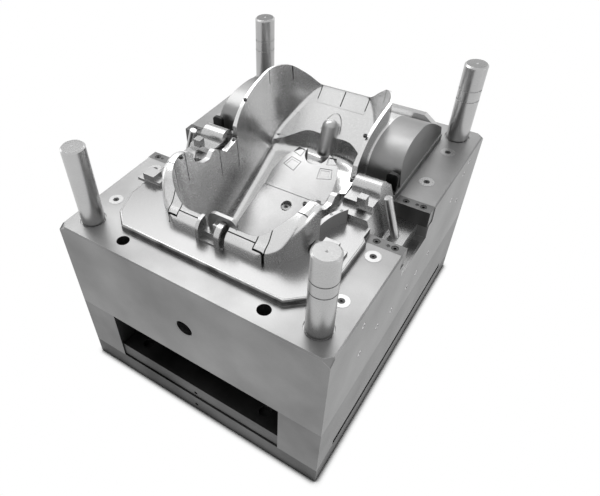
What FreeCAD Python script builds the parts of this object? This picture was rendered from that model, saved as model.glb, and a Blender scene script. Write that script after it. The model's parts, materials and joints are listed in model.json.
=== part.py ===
"""Moving half of an injection mould for a child car seat shell.

Millimetres. +X to the right along the front face, +Y into the depth, +Z up.
Origin: middle of the clamp plate's underside.
"""
import FreeCAD
import Part
import os
from math import radians, tan, cos, sin

V = FreeCAD.Vector
os.makedirs("parts", exist_ok=True)

# plates
block_width = 800.0
block_depth = 970.0
block_height = 300.0
clamp_thickness = 65.0
spacer_height = 190.0
spacer_width = 120.0
edge_chamfer = 4.0
pry_corner = 22.0
pry_drop = 14.0

# ejector box
retainer_thickness = 22.0
ejector_base_thickness = 28.0
stop_disc_height = 5.0
stop_disc_radius = 22.0
ejector_side_gap = 2.0
ejector_end_inset = 4.0

# clamping slot along the foot of each spacer
clamp_slot_inset = 89.0
clamp_slot_height = 23.0
clamp_slot_depth = 22.0

# guide pillars
pillar_radius = 31.0
pillar_rise = 228.0
pillar_seat_depth = 130.0
pillar_front_inset = 68.0
pillar_rear_inset = 52.0
pillar_side_inset = 64.0
pillar_shoulder_radius = 35.0
pillar_relief_drop = 3.0
pillar_relief_rise = 2.0
pillar_relief_depth = 1.0
pillar_chamfer = 4.0
groove_width = 3.0
groove_depth = 1.5
groove_pitch = 32.0
groove_from_top = 70.0
dimple_radius = 3.0

# through holes, lifting holes, water ports
through_radius = 17.0
through_x = 211.0
through_inset = 48.0
eye_radius = 24.0
eye_countersink = 27.0
eye_depth = 60.0
eye_drop = 164.0
plate_eye_radius = 6.0
plate_eye_depth = 30.0
port_radius = 9.0
port_depth = 45.0
press_rod_radius = 30.0

# seat form
seat_middle_back = 25.0
seat_half_width = 184.0
seat_side_length = 518.0
seat_front_corner = 100.0
seat_rear_length = 158.0
wall_draft = 4.0
draft_reference = 100.0
floor_drop = 215.0
pan_slope = 22.8
pan_datum_drop = 32.0
pan_height = 55.0
pan_rear_radius = 78.0
pan_front_half_width = 118.0
pan_seam_half_width = 100.0
pan_seam_from_rear = 157.0
floor_rounding = 22.0
floor_blend = 90.0
bight_behind_wing = 67.0
bight_top_drop = 5.0
backrest_slope = 46.0
backrest_rounding = 16.0
insert_depth = 262.0
insert_behind_seat = 37.0

# plateau and shelf
plateau_rise = 18.0
plateau_before_seat = 95.0
plateau_overhang = 12.0
plateau_corner = 72.0
plateau_rounding = 7.0
shelf_before_wing = 110.0
shelf_rise = 111.0
shelf_side_draft = 10.0
heel_length = 19.0
heel_rise = 60.0
heel_side_inset = 23.0
heel_gap = 0.3

# rim
rim_front_rise = 63.0
rim_side_rise = 134.0
dip_high_rise = 108.0
dip_low_rise = 57.0
lug_rise = 70.0
strip_low_rise = 36.0
strip_high_rise = 46.0
wing_foot_rise = 84.0
wing_rise = 178.0
wing_fall_back = 106.0
saddle_rise = 88.0
collar_wall = 30.0
collar_length = 119.0
wing_wall = 12.0
lip_rounding = 17.0
notch_half_width = 35.0
notch_gap = 0.5
notch_lead = 4.0
notch_tail = 4.0
notch_low_depth = 18.0
notch_low_rise = 4.0
notch_mid_depth = 17.0
notch_mid_rise = 17.0
notch_high_rise = 32.0
dip_start = 150.0
dip_end = 214.0
lug_start = 230.0
lug_end = 240.0
strip_start = 291.0
strip_end = 347.0

# pan details
screw_head_radius = 15.0
screw_head_height = 16.0
screw_shank_radius = 10.0
pan_screw_from_seam = 40.0
pan_screw_length = 90.0
peg_radius = 24.0
peg_lean = 20.0
peg_foot_behind_wing = 33.0
peg_foot_drop = 74.0
peg_length = 118.0
peg_arch_gap = 8.5
peg_arch_width = 1.5
peg_arch_depth = 6.0
recess_radius = 38.0
recess_before_wing = 6.0
recess_depth = 48.0
field_depth = 1.2
field_rear_back = 22.0
field_rear_x = 57.0
field_rear_size = 30.0
field_front_back = 69.0
field_front_x = 56.0
field_front_size = 34.0
pan_let_in = 15.0
pan_seam_gap = 1.5
screw_gap = 1.0
peg_rounding = 20.0

# slider
slider_from_seat = 222.0
slider_width = 149.0
slider_depth = 90.0
shoulder_height = 42.0
shoulder_overlap = 8.0
slider_gap = 0.3
slider_seat_gap = 9.0
slider_end_inset = 29.0
slider_heel_inset = 116.0
slider_heel_rise = 50.0
slider_low_rise = 36.0
lean_angle = 18.0
slider_low_length = 34.0
barrel_radius = 26.0
barrel_from_slider = 109.0
cube_size = 22.0
cube_from_slider = 29.0
cube_from_seat_side = 39.0
gib_width = 32.0
gib_length = 98.0
gib_end_gap = 2.0
gib_screw_inset = 24.0
gib_outer_screw_inset = 27.0
gib_dowel_inset = 54.0
gib_screw_radius = 6.0
gib_head_radius = 9.0
gib_head_height = 12.0
gib_dowel_radius = 5.0
wear_thickness = 8.0
wear_margin = 12.0
angle_pin_radius = 11.0
angle_pin_inset = 96.0
angle_pin_top_rise = 63.0
angle_pin_from_slider = 78.0

# small inserts on the parting face
stop_plate_width = 32.0
stop_plate_thickness = 11.0
stop_plate_rise = 68.0
stop_plate_inset = 121.0
stop_plate_back = 15.0
stop_plate_rounding = 9.0
step_block_length = 38.0
step_block_depth = 34.0
step_block_rise = 45.0
step_block_left_gap = 108.0
step_block_right_gap = 70.0
step_block_from_seat = 94.0
step_flange = 20.0
step_flange_height = 8.0
step_low_height = 14.0
arc_thickness = 12.0
arc_gap = 4.0
arc_rise = 60.0
arc_end_gap = 5.0
arc_radius = 140.0
arc_end_rounding = 5.0
pad_radius = 20.0
pad_height = 8.0
pad_inset = 59.0
pad_from_front = 161.0
pad_before_slider = 69.0
pad_after_slider = 121.0
pad_from_rear = 143.0
pad_screw_head = 5.5
pad_screw_shank = 24.0

# ejectors in the rim
ejector_gap = 0.5
rod_radius = 9.0
rod_hole_radius = 10.0
guide_pin_radius = 15.0
guide_pin_gap = 0.05
support_radius = 30.0
support_gap = 2.0
clamp_screw_radius = 12.0
clamp_head_radius = 18.0
clamp_head_height = 24.0
insert_screw_radius = 10.0
insert_head_radius = 15.0
insert_head_height = 20.0
plate_screw_radius = 5.0
plate_head_radius = 8.0
plate_head_height = 10.0

# derived levels and places
clamp_top = clamp_thickness
block_bottom = clamp_thickness + spacer_height
parting = block_bottom + block_height
front = -block_depth / 2
rear = block_depth / 2
side = block_width / 2
seat_front = seat_middle_back - (seat_side_length + seat_rear_length) / 2
draft = tan(radians(wall_draft))
lean = tan(radians(lean_angle))
slope = tan(radians(pan_slope))
back_slope = tan(radians(backrest_slope))
seat_wing = seat_front + seat_side_length
seat_rear = seat_wing + seat_rear_length
pan_rear = seat_wing + 8.0
bight_y = seat_wing + bight_behind_wing
insert_rear = seat_rear + insert_behind_seat
shelf_half_width = side - gib_length - gib_end_gap
plateau_half_width = shelf_half_width + plateau_overhang
insert_bottom = parting - insert_depth
slider_front = seat_front + slider_from_seat
slider_inner_x = seat_half_width + wing_wall + slider_seat_gap
slider_base_x = side - slider_end_inset
slider_heel_x = side - slider_heel_inset
slider_rear = slider_front + slider_width
slider_floor = parting - slider_depth
shoulder_top = slider_floor + shoulder_height
ejector_top = clamp_top + stop_disc_height + ejector_base_thickness + retainer_thickness
retainer_bottom = ejector_top - retainer_thickness
ejector_bottom = clamp_top + stop_disc_height
box_half_width = side - spacer_width
pillar_x = side - pillar_side_inset
pillar_front_y = front + pillar_front_inset
pillar_rear_y = rear - pillar_rear_inset
through_y = front + through_inset
collar_rear = seat_front + collar_length
waist_ejector_front = seat_front + strip_start - 31
waist_ejector_rear = seat_front + strip_end - 3
angle_pin_y = slider_front + angle_pin_from_slider


def box(x0, x1, y0, y1, z0, z1):
    return Part.makeBox(x1 - x0, y1 - y0, z1 - z0, V(x0, y0, z0))


def rod(x, y, z0, z1, radius):
    return Part.makeCylinder(radius, z1 - z0, V(x, y, z0))


def mirrored(shape):
    return shape.mirror(V(0, 0, 0), V(1, 0, 0))


def closed_wire(edges):
    return Part.Wire(Part.__sortEdges__(edges))


def along_x(points, half_width, curved=False):
    """Prism along X from a profile of (y, z) points closed below by straight lines."""
    pts = [V(-half_width, y, z) for y, z in points]
    if curved:
        top = Part.BSplineCurve()
        top.interpolate(pts)
        low = min(p.z for p in pts) - 60
        a, b = pts[0], pts[-1]
        lines = [
            Part.makeLine(b, V(b.x, b.y, low)),
            Part.makeLine(V(b.x, b.y, low), V(a.x, a.y, low)),
            Part.makeLine(V(a.x, a.y, low), a),
        ]
        wire = Part.Wire([top.toShape()] + lines)
    else:
        wire = Part.makePolygon(pts + [pts[0]])
    return Part.Face(wire).extrude(V(2 * half_width, 0, 0))


def upright(points, z0, z1):
    """Prism along Z from a closed outline of (x, y) points."""
    pts = [V(x, y, z0) for x, y in points]
    return Part.Face(Part.makePolygon(pts + [pts[0]])).extrude(V(0, 0, z1 - z0))


def spline(points, start, end):
    curve = Part.BSplineCurve()
    curve.interpolate(Points=points, InitialTangent=start, FinalTangent=end)
    return curve.toShape()


def seat_outline(inset, z, rear_length=seat_rear_length):
    """Inner outline of the seat form, moved inward by inset, at height z."""
    half = seat_half_width - inset
    y0 = seat_front + inset
    y1 = seat_wing
    y2 = seat_wing + rear_length - inset
    r = seat_front_corner - inset * 0.5
    k = r * (1 - cos(radians(45)))
    corner = Part.Arc(V(half - r, y0, z), V(half - k, y0 + k, z), V(half, y0 + r, z))
    wing = V(half * 0.82, y1 + (y2 - y1) * 0.50, z)
    saddle = V(half * 0.45, y1 + (y2 - y1) * 0.965, z)
    tip = V(0, y2, z)
    right = [
        corner.toShape(),
        Part.makeLine(V(half, y0 + r, z), V(half, y1, z)),
        spline([V(half, y1, z), wing, saddle, tip], V(0, 1, 0), V(-1, 0, 0)),
    ]
    first = Part.makeLine(V(-half + r, y0, z), V(half - r, y0, z))
    return closed_wire([first] + right + [mirrored(e) for e in right])


def seat_prism(z0, z1, rear_length=seat_rear_length):
    """Drafted prism inside the seat outline between two heights."""
    reference = parting + draft_reference
    low = seat_outline((reference - z0) * draft, z0, rear_length)
    high = seat_outline((reference - z1) * draft, z1, rear_length)
    return Part.makeLoft([low, high], True, True)


def well_floor():
    """Side view of the well's floor, level in front and rising under the pan, as a prism."""
    floor = parting - floor_drop
    rear_floor = parting - pan_datum_drop - pan_height
    slope_start = pan_rear - (rear_floor - floor) / slope
    top = parting + wing_rise + 50
    y0, y1 = seat_front - 60, seat_rear + 80
    body = along_x(
        [(y0, floor), (slope_start, floor), (pan_rear, rear_floor), (y1, rear_floor), (y1, top), (y0, top)],
        side,
    )
    folds = edges_near(body, slope_start, floor) + edges_near(body, pan_rear, rear_floor)
    return body.makeFillet(floor_blend, folds)


def edges_near(shape, y, z):
    """Edges along X through the point (y, z)."""
    found = []
    for edge in shape.Edges:
        b = edge.BoundBox
        misses = (b.YMin - y, b.YMax - y, b.ZMin - z, b.ZMax - z)
        if max(abs(miss) for miss in misses) < 0.5:
            found.append(edge)
    return found


def seat_well():
    """Drafted well for the seat pan, rounded where walls meet the floor."""
    floor = parting - floor_drop
    rear_floor = parting - pan_datum_drop - pan_height
    well = seat_prism(floor, parting + wing_rise + 40, bight_y - seat_wing)
    well = well.common(well_floor())
    foot = []
    for edge in well.Edges:
        b = edge.BoundBox
        across = b.YLength < 1 and b.YMin > seat_front + seat_front_corner
        if b.ZMax < rear_floor + 1 and not across:
            foot.append(edge)
    return well.makeFillet(floor_rounding, foot)


def seat_back():
    """Upper hollow of the seat, closed below by the leaning backrest plane."""
    floor = parting - floor_drop
    top = parting + wing_rise + 40
    y0, y1 = seat_wing - 20, seat_rear + 60
    above = [
        (y0, backrest_z(y0)),
        (y1, backrest_z(y1)),
        (y1, top + 120),
        (y0, top + 120),
    ]
    hollow = seat_prism(floor, top).common(along_x(above, side))
    foot = [e for e in hollow.Edges if on_backrest(e, y0)]
    return hollow.makeFillet(backrest_rounding, foot)


def on_backrest(edge, y0):
    """True for the edges where the leaning backrest meets the walls."""
    a, b = edge.BoundBox, edge.valueAt(edge.FirstParameter)
    return abs(b.z - backrest_z(b.y)) < 0.5 and a.ZLength > 1 and a.YMin > y0 - 1


def seat_cavity():
    return seat_well().fuse(seat_back())


def under_runs(runs, half_width):
    """Prism along X under a chain of runs; a run of (y, z) points is a line or a smooth curve."""
    edges = []
    for run in runs:
        points = [V(-half_width, y, z) for y, z in run]
        if len(points) == 2:
            edges.append(Part.makeLine(*points))
        else:
            curve = Part.BSplineCurve()
            curve.interpolate(points)
            edges.append(curve.toShape())
    start, end = runs[0][0], runs[-1][-1]
    low = min(z for run in runs for y, z in run) - 60
    corners = [V(-half_width, y, z) for y, z in (end, (end[0], low), (start[0], low), start)]
    edges += [Part.makeLine(corners[i], corners[i + 1]) for i in range(3)]
    return Part.Face(Part.Wire(edges)).extrude(V(2 * half_width, 0, 0))


def rim_runs():
    """Side view of the rim's top: collar, dip, lug, ejector strip, wing and saddle."""
    s = seat_front
    z = parting
    climb = rim_side_rise - rim_front_rise
    collar = [
        (s - collar_wall - 1, z - 2),
        (s - collar_wall + 5, z + rim_front_rise * 0.50),
        (s - collar_wall * 0.5, z + rim_front_rise * 0.86),
        (s, z + rim_front_rise),
        (s + 18, z + rim_front_rise + climb * 0.36),
        (s + 43, z + rim_front_rise + climb * 0.75),
        (s + 70, z + rim_side_rise - 5),
        (s + 98, z + rim_side_rise),
        (s + 130, z + rim_side_rise - 8),
        (s + dip_start, z + dip_high_rise),
    ]
    dip = [
        (s + dip_start, z + dip_high_rise),
        (s + dip_start + 9, z + dip_low_rise + 20),
        (s + dip_start + 24, z + dip_low_rise + 9),
        (s + dip_end, z + dip_low_rise),
    ]
    foot = s + strip_end + 3
    run = (seat_wing + wing_fall_back - foot) / 274
    wing = [
        (foot, z + wing_foot_rise),
        (foot + 18 * run, z + wing_rise * 0.61),
        (foot + 44 * run, z + wing_rise * 0.74),
        (foot + 95 * run, z + wing_rise * 0.885),
        (foot + 142 * run, z + wing_rise * 0.95),
        (foot + 192 * run, z + wing_rise * 0.995),
        (foot + 222 * run, z + wing_rise),
        (foot + 248 * run, z + wing_rise * 0.97),
        (foot + 274 * run, z + wing_rise * 0.86),
        (seat_rear - 26, z + saddle_rise + 38),
        (seat_rear, z + saddle_rise),
        (seat_rear + wing_wall + 4, z + saddle_rise - 18),
    ]
    strip = (s + strip_start, z + strip_low_rise), (s + strip_end, z + strip_high_rise)
    lug = (s + lug_start, z + lug_rise), (s + lug_end, z + lug_rise)
    return [collar, dip, [dip[-1], lug[0]], lug, [lug[1], strip[0]], strip, [strip[1], wing[0]], wing]


def rim_prism():
    return under_runs(rim_runs(), side)


def collar_plug():
    """Solid over the front collar, before the seat is cut out."""
    half = seat_half_width + collar_wall
    y0 = seat_front - collar_wall - 2
    base = box(-half, half, y0, collar_rear, parting - 20, parting + rim_side_rise + 20)
    front_edges = [e for e in base.Edges if e.BoundBox.ZLength > 100 and e.BoundBox.YMax < y0 + 1]
    base = base.makeFillet(seat_front_corner + collar_wall, front_edges)
    body = base.common(rim_prism())
    limit = parting + rim_front_rise
    top = [e for e in body.Edges if e.BoundBox.ZMax > limit and e.BoundBox.ZLength < 60]
    top = [e for e in top if e.BoundBox.YLength > 5 and abs(e.BoundBox.Center.x) > half - 5]
    return body.makeFillet(lip_rounding, top)


def wing_plug():
    """Thin rim beside and behind the seat, before the seat is cut out."""
    outline = seat_outline(-wing_wall, parting - 20)
    body = Part.Face(outline).extrude(V(0, 0, wing_rise + 60))
    front_cut = box(-side, side, front, collar_rear - 40, 0, parting + 400)
    return body.cut(front_cut).common(rim_prism())


def shelf_body():
    """Convex sloping shelf outside the wings, with drafted side walls."""
    y0 = seat_wing - shelf_before_wing
    z = parting
    run = insert_rear - y0
    top = [
        (y0, z - 2),
        (y0 + 7, z + shelf_rise * 0.46),
        (y0 + 20, z + shelf_rise * 0.72),
        (y0 + 44, z + shelf_rise * 0.88),
        (y0 + 76, z + shelf_rise * 0.975),
        (y0 + 112, z + shelf_rise),
        (y0 + 160, z + shelf_rise * 0.985),
        (y0 + run * 0.66, z + shelf_rise * 0.89),
        (y0 + run * 0.79, z + shelf_rise * 0.72),
        (insert_rear, z + shelf_rise * 0.34),
    ]
    crown = along_x(top, side, True)
    foot = shelf_half_width
    inward = (shelf_rise + 10) * tan(radians(shelf_side_draft))
    low = parting - 4
    high = parting + shelf_rise + 10
    section = [
        V(-foot, y0 - 10, low),
        V(foot, y0 - 10, low),
        V(foot, y0 - 10, parting),
        V(foot - inward, y0 - 10, high),
        V(-foot + inward, y0 - 10, high),
        V(-foot, y0 - 10, parting),
        V(-foot, y0 - 10, low),
    ]
    bar = Part.Face(Part.makePolygon(section)).extrude(V(0, run + 10, 0))
    return bar.common(crown)


def insert_outline(grow=0.0):
    """Footprint of the seat insert in the block."""
    c = plateau_half_width - plateau_corner
    w = plateau_half_width
    y0 = seat_front - plateau_before_seat
    s = shelf_half_width
    right = [
        (c, y0 - grow),
        (c + (w - c) * 0.6, y0 + 39),
        (w + grow, y0 + 113),
        (w + grow, slider_front - gib_width - 16),
        (s + grow, slider_front - gib_width),
        (s + grow, insert_rear + grow),
    ]
    left = [(-x, y) for x, y in reversed(right)]
    return right + left


def plateau():
    c = upright(insert_outline(), parting - 5, parting + plateau_rise)
    limit = parting + plateau_rise - 1
    keep = slider_front - gib_width
    edges = [e for e in c.Edges if e.BoundBox.ZMin > limit and e.BoundBox.YMax < keep + 1]
    body = c.makeFillet(plateau_rounding, edges)
    return body


def slider_pocket(x0, x1):
    """T-shaped way of the right slider between two X planes."""
    way = box(x0, x1, slider_front, slider_rear, slider_floor, parting + 200)
    o = shoulder_overlap
    foot = box(x0, x1, slider_front - o, slider_rear + o, slider_floor, shoulder_top)
    return way.fuse(foot)


# rim ejectors: name, x0, x1, y0, y1, bottom below parting, rod x, rod y
def ejector_table():
    w = seat_half_width
    s = seat_front
    y0, y1 = waist_ejector_front, waist_ejector_rear
    return [
        ("corner_ejector", w - 71, w - 41, s - 19, s + 40, 50, w - 56, s - 4),
        ("side_ejector", w - 40, w + 20, s + 68, s + 119, 60, w + 5, s + 93),
        ("waist_ejector", w - 40, w + 20, y0, y1, 57, w + 4, y1 - 47),
        ("wing_ejector", w - 66, w + 8, seat_wing + 17, seat_wing + 88, 40, w - 20, seat_wing + 38),
        ("saddle_ejector", 0.25, w - 105, seat_rear - 36, seat_rear + wing_wall - 6, 10, w - 150, seat_rear - 11),
    ]


def ejector_zone(row, gap):
    name, x0, x1, y0, y1, drop, rx, ry = row
    return box(x0 - gap, x1 + gap, y0 - gap, y1 + gap, parting - drop - gap, parting + 260)


def seat_insert_blank():
    """Whole seat form before ejector slots are cut."""
    body = upright(insert_outline(), insert_bottom, parting)
    body = body.fuse([plateau(), collar_plug(), wing_plug(), shelf_body()])
    body = body.cut(seat_cavity())
    n = notch_half_width
    y0, y1 = seat_front - collar_wall - 20, seat_front + 20
    notch = box(-n, n, y0, y1, parting + plateau_rise, parting + 150)
    body = body.cut(notch)
    pocket = slider_pocket(slider_inner_x, side + 10).fuse(wear_plate(0.1))
    return body.cut([pocket, mirrored(pocket)])


def core_plate():
    body = box(-side, side, front, rear, block_bottom, parting)
    long_edges = [e for e in body.Edges if abs(e.BoundBox.ZMin - parting) < 1 and e.BoundBox.ZLength < 1]
    body = body.makeChamfer(edge_chamfer, long_edges)
    for sx in (-1, 1):
        for sy in (-1, 1):
            body = body.cut(corner_wedge(sx, sy))
    body = body.cut(upright(insert_outline(0.3), insert_bottom, parting + 5))
    pocket = slider_pocket(shelf_half_width - 5, side + 10)
    gibs = gib_blank(True, 0.1).fuse(gib_blank(False, 0.1))
    wear = wear_plate(0.1)
    body = body.cut([pocket, mirrored(pocket), gibs, mirrored(gibs), wear, mirrored(wear)])
    cuts = []
    for x, y, grooved in pillar_places():
        cuts.append(rod(x, y, parting - pillar_seat_depth, parting + 5, pillar_shoulder_radius))
    for x in (-through_x, through_x):
        cuts.append(rod(x, through_y, block_bottom - 5, parting + 5, through_radius))
        cuts.append(rod(x, -through_y, block_bottom - 5, parting + 5, through_radius))
    cuts += eye_hole(parting - eye_drop)
    cuts += water_ports()
    for x, y in pad_places():
        cuts.append(rod(x, y, parting - pad_height, parting + 5, pad_radius + 0.1))
        cuts.append(rod(x, y, parting - pad_height - pad_screw_shank, parting, plate_screw_radius))
    body = body.cut(cuts)
    under = []
    for row in ejector_table():
        rx, ry = row[6], row[7]
        under += [rod(x, ry, block_bottom - 5, insert_bottom + 5, rod_hole_radius) for x in (rx, -rx)]
    for x, y in guide_pin_places():
        under.append(rod(x, y, block_bottom - 5, block_bottom + 30, guide_pin_radius))
    for x, y in insert_screw_places():
        under.append(rod(x, y, block_bottom - 5, insert_bottom + 5, insert_screw_radius + 0.5))
        head_top = block_bottom + insert_head_height
        under.append(rod(x, y, block_bottom - 5, head_top, insert_head_radius + 0.5))
    for x, y in clamp_screw_places():
        under.append(rod(x, y, block_bottom - 5, block_bottom + 40, clamp_screw_radius))
    body = body.cut(under)
    bores = [gib_bores(y, 1) for y in gib_centres()]
    cutters = [c for group in bores for c in group]
    return body.cut(cutters + [mirrored(c) for c in cutters])


def corner_wedge(sx, sy):
    """Corner facet that gives a pry bar its grip."""
    x, y, z = sx * side, sy * rear, parting
    e = 1.2
    a = V(x - sx * pry_corner, y, z)
    b = V(x, y - sy * pry_corner, z)
    c = V(x, y, z - pry_drop)
    out = V(sx * e, sy * e, e)
    tip = V(x, y, z).add(out)
    pts = [tip.add(p.sub(tip).multiply(1.15)) for p in (a, b, c)]
    faces = [Part.Face(Part.makePolygon([p, q, r, p])) for p, q, r in (
        (pts[0], pts[1], pts[2]), (pts[0], pts[1], tip), (pts[1], pts[2], tip), (pts[0], pts[2], tip))]
    return Part.Solid(Part.Shell(faces))


def eye_hole(z):
    hole = Part.makeCylinder(eye_radius, eye_depth, V(0, front, z), V(0, 1, 0))
    chamfer = eye_countersink - eye_radius
    mouth = Part.makeCone(eye_countersink, eye_radius, chamfer, V(0, front, z), V(0, 1, 0))
    back = [hole.mirror(V(0, 0, 0), V(0, 1, 0)), mouth.mirror(V(0, 0, 0), V(0, 1, 0))]
    return [hole, mouth] + back


def water_ports():
    """Cooling ports in the right and left faces, by distance from the front or rear face and depth."""
    from_front = ((165, 52), (171, 165), (271, 167), (370, 205), (478, 216), (547, 220), (637, 217))
    from_rear = ((142, 55), (110, 30), (214, 103), (132, 160))
    places = [(front + y, drop) for y, drop in from_front]
    places += [(rear - y, drop) for y, drop in from_rear]
    shapes = []
    for y, drop in places:
        place = V(side - port_depth, y, parting - drop)
        port = Part.makeCylinder(port_radius, port_depth + 5, place, V(1, 0, 0))
        shapes += [port, mirrored(port)]
    return shapes


def pillar_places():
    return [
        (-pillar_x, pillar_front_y, False),
        (pillar_x, pillar_front_y, True),
        (-pillar_x, pillar_rear_y, True),
        (pillar_x, pillar_rear_y, True),
    ]


def guide_pillar(x, y, grooved):
    z0 = parting - pillar_seat_depth
    z1 = parting + pillar_rise
    shoulder = parting - pillar_relief_drop
    relief = parting + pillar_relief_rise
    body = rod(x, y, z0, shoulder, pillar_shoulder_radius)
    body = body.fuse([
        rod(x, y, shoulder, relief, pillar_radius - pillar_relief_depth),
        rod(x, y, relief, z1, pillar_radius),
    ])
    rim = [e for e in body.Edges if e.BoundBox.ZMin > z1 - 1]
    body = body.makeChamfer(pillar_chamfer, rim)
    dimple = Part.makeCone(0.01, dimple_radius, dimple_radius, V(x, y, z1 - dimple_radius))
    body = body.cut(dimple)
    if grooved:
        for i in range(2):
            z = z1 - groove_from_top - i * groove_pitch
            ring = rod(x, y, z, z + groove_width, pillar_radius + 2)
            ring = ring.cut(rod(x, y, z - 1, z + groove_width + 1, pillar_radius - groove_depth))
            body = body.cut(ring)
    return body


def pad_places():
    x = side - pad_inset
    ys = [
        front + pad_from_front,
        slider_front - pad_before_slider,
        slider_rear + pad_after_slider,
        rear - pad_from_rear,
    ]
    return [(sx * x, y) for y in ys for sx in (-1, 1)]


def parting_pads():
    pads = []
    for x, y in pad_places():
        pad = rod(x, y, parting - pad_height, parting + 0.5, pad_radius)
        hole = rod(x, y, parting - pad_height - 1, parting + 2, plate_screw_radius + 0.5)
        head = rod(x, y, parting - pad_screw_head, parting + 2, plate_head_radius + 0.5)
        pads.append(pad.cut([hole, head]))
    return Part.makeCompound(pads)


def cap_screw(x, y, seat, shank, radius, head_radius, head_height, up=1):
    """Socket head screw; seat is the level under the head, up=1 has the head on top."""
    if up > 0:
        head = rod(x, y, seat, seat + head_height, head_radius)
        body = rod(x, y, seat - shank, seat + 0.01, radius).fuse(head)
        key = hexagon(x, y, seat + head_height * 0.45, seat + head_height + 1, radius * 0.72)
    else:
        head = rod(x, y, seat - head_height, seat, head_radius)
        body = rod(x, y, seat - 0.01, seat + shank, radius).fuse(head)
        key = hexagon(x, y, seat - head_height - 1, seat - head_height * 0.45, radius * 0.72)
    return body.cut(key).removeSplitter()


def hexagon(x, y, z0, z1, radius):
    pts = [(x + radius * cos(radians(60 * i)), y + radius * sin(radians(60 * i))) for i in range(6)]
    return upright(pts, z0, z1)


def pad_screws():
    seat = parting - pad_screw_head
    sizes = (pad_screw_shank, plate_screw_radius, plate_head_radius, pad_screw_head)
    return Part.makeCompound([cap_screw(x, y, seat, *sizes) for x, y in pad_places()])


def gib_centres():
    """Middle lines of the front and the rear gib."""
    return [slider_front - gib_width / 2, slider_rear + gib_width / 2]


def gib_blank(at_front, grow=0.0):
    """Gib of the right slider, lying on the ledge beside the T-way."""
    x1 = side - 2
    x0 = side - gib_length
    if at_front:
        y0, y1 = slider_front - gib_width, slider_front
    else:
        y0, y1 = slider_rear, slider_rear + gib_width
    if grow:
        return box(x0 - grow, x1 + 12, y0 - grow, y1 + grow, shoulder_top, parting + 5)
    body = box(x0, x1, y0, y1, shoulder_top, parting)
    inner = [e for e in body.Edges if e.BoundBox.ZLength > 40 and e.BoundBox.XMax < x0 + 1]
    return body.makeChamfer(2.0, inner)


def gib_holes_x():
    x0 = side - gib_length
    return x0 + gib_screw_inset, side - gib_outer_screw_inset, x0 + gib_dowel_inset


def gib_bores(y, extra):
    """Screw and dowel bores of one gib, going down into the block."""
    xa, xb, xd = gib_holes_x()
    seat = parting - gib_head_height
    out = []
    for x in (xa, xb):
        out.append(rod(x, y, shoulder_top - 25 * extra, parting + 5, gib_screw_radius))
        out.append(rod(x, y, seat, parting + 5, gib_head_radius + 0.5))
    out.append(rod(xd, y, shoulder_top - 15 * extra, parting + 5, gib_dowel_radius))
    return out


def gib(at_front):
    y = gib_centres()[0 if at_front else 1]
    return gib_blank(at_front).cut(gib_bores(y, 1))


def gib_screws():
    xa, xb, xd = gib_holes_x()
    seat = parting - gib_head_height
    shank = seat - shoulder_top + 24
    sizes = (shank, gib_screw_radius, gib_head_radius, gib_head_height - 1)
    parts = []
    for y in gib_centres():
        for x in (xa, xb, -xa, -xb):
            parts.append(cap_screw(x, y, seat, *sizes))
    return Part.makeCompound(parts)


def gib_dowels():
    xd = gib_holes_x()[2]
    z0 = shoulder_top - 14
    rods = [rod(x, y, z0, parting - 1, gib_dowel_radius) for y in gib_centres() for x in (xd, -xd)]
    return Part.makeCompound(rods)


def wear_plate(grow=0.0):
    """Hardened plate let into the floor under the right slider."""
    x0, x1 = slider_inner_x + wear_margin, side - 6
    y0, y1 = slider_front + wear_margin, slider_rear - wear_margin
    top = slider_floor + (2 if grow else 0)
    return box(x0 - grow, x1 + grow, y0 - grow, y1 + grow, slider_floor - wear_thickness, top)


def slider():
    """Right slider: T-base, heel, stepped top, barrel head and locating cube."""
    g = slider_gap
    o = shoulder_overlap
    x0 = slider_inner_x + g
    y0, y1 = slider_front + g, slider_rear - g
    base = box(x0, slider_base_x, y0 - o, y1 + o, slider_floor + g, shoulder_top - g)
    neck = box(x0, slider_base_x, y0, y1, slider_floor + g, shoulder_top)
    z1 = parting + slider_low_rise
    z2 = parting + slider_heel_rise
    ya = slider_front + slider_low_length
    yb = ya + 4
    yc = slider_front + barrel_from_slider
    points = [(y0, shoulder_top - 1), (y0, z1), (ya, z1), (yb, z2), (y1, z2), (y1, shoulder_top - 1)]
    body = along_x(points, side)
    top = parting + slider_heel_rise
    barrel = Part.makeCylinder(barrel_radius, 2 * side, V(-side, yc, top), V(1, 0, 0))
    body = body.fuse(barrel)
    low = shoulder_top - 1
    high = top + barrel_radius + 5
    heel = [
        V(x0, y0 - 5, low),
        V(slider_heel_x + (top - low) * lean, y0 - 5, low),
        V(slider_heel_x - (high - top) * lean, y0 - 5, high),
        V(x0, y0 - 5, high),
        V(x0, y0 - 5, low),
    ]
    limit = Part.Face(Part.makePolygon(heel)).extrude(V(0, slider_width + 10, 0))
    body = body.common(limit).fuse([base, neck])
    c = cube_size
    cy = slider_front + cube_from_slider
    cx = slider_inner_x + cube_from_seat_side
    cube = box(cx, cx + c, cy, cy + c, z2 - 1, z2 + c)
    body = body.fuse(cube).removeSplitter()
    return body.cut(angle_pin(0.0))


def angle_pin(short=1.0):
    """Leaning pin in the slider base, its upper end over the heel."""
    foot = slider_floor + 6
    top = parting + angle_pin_top_rise
    xt = side - angle_pin_inset
    xf = xt + (top - foot) * lean
    length = (top - foot) / cos(radians(lean_angle))
    axis = V(xt - xf, 0, top - foot)
    body = Part.makeCylinder(angle_pin_radius, length, V(xf, angle_pin_y, foot), axis)
    if not short:
        return body
    rim = [e for e in body.Edges if e.BoundBox.ZMin > top - 12]
    return body.makeChamfer(2.0, rim)


def seat_pan_z(y):
    return parting - pan_datum_drop + (y - pan_rear) * slope


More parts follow.
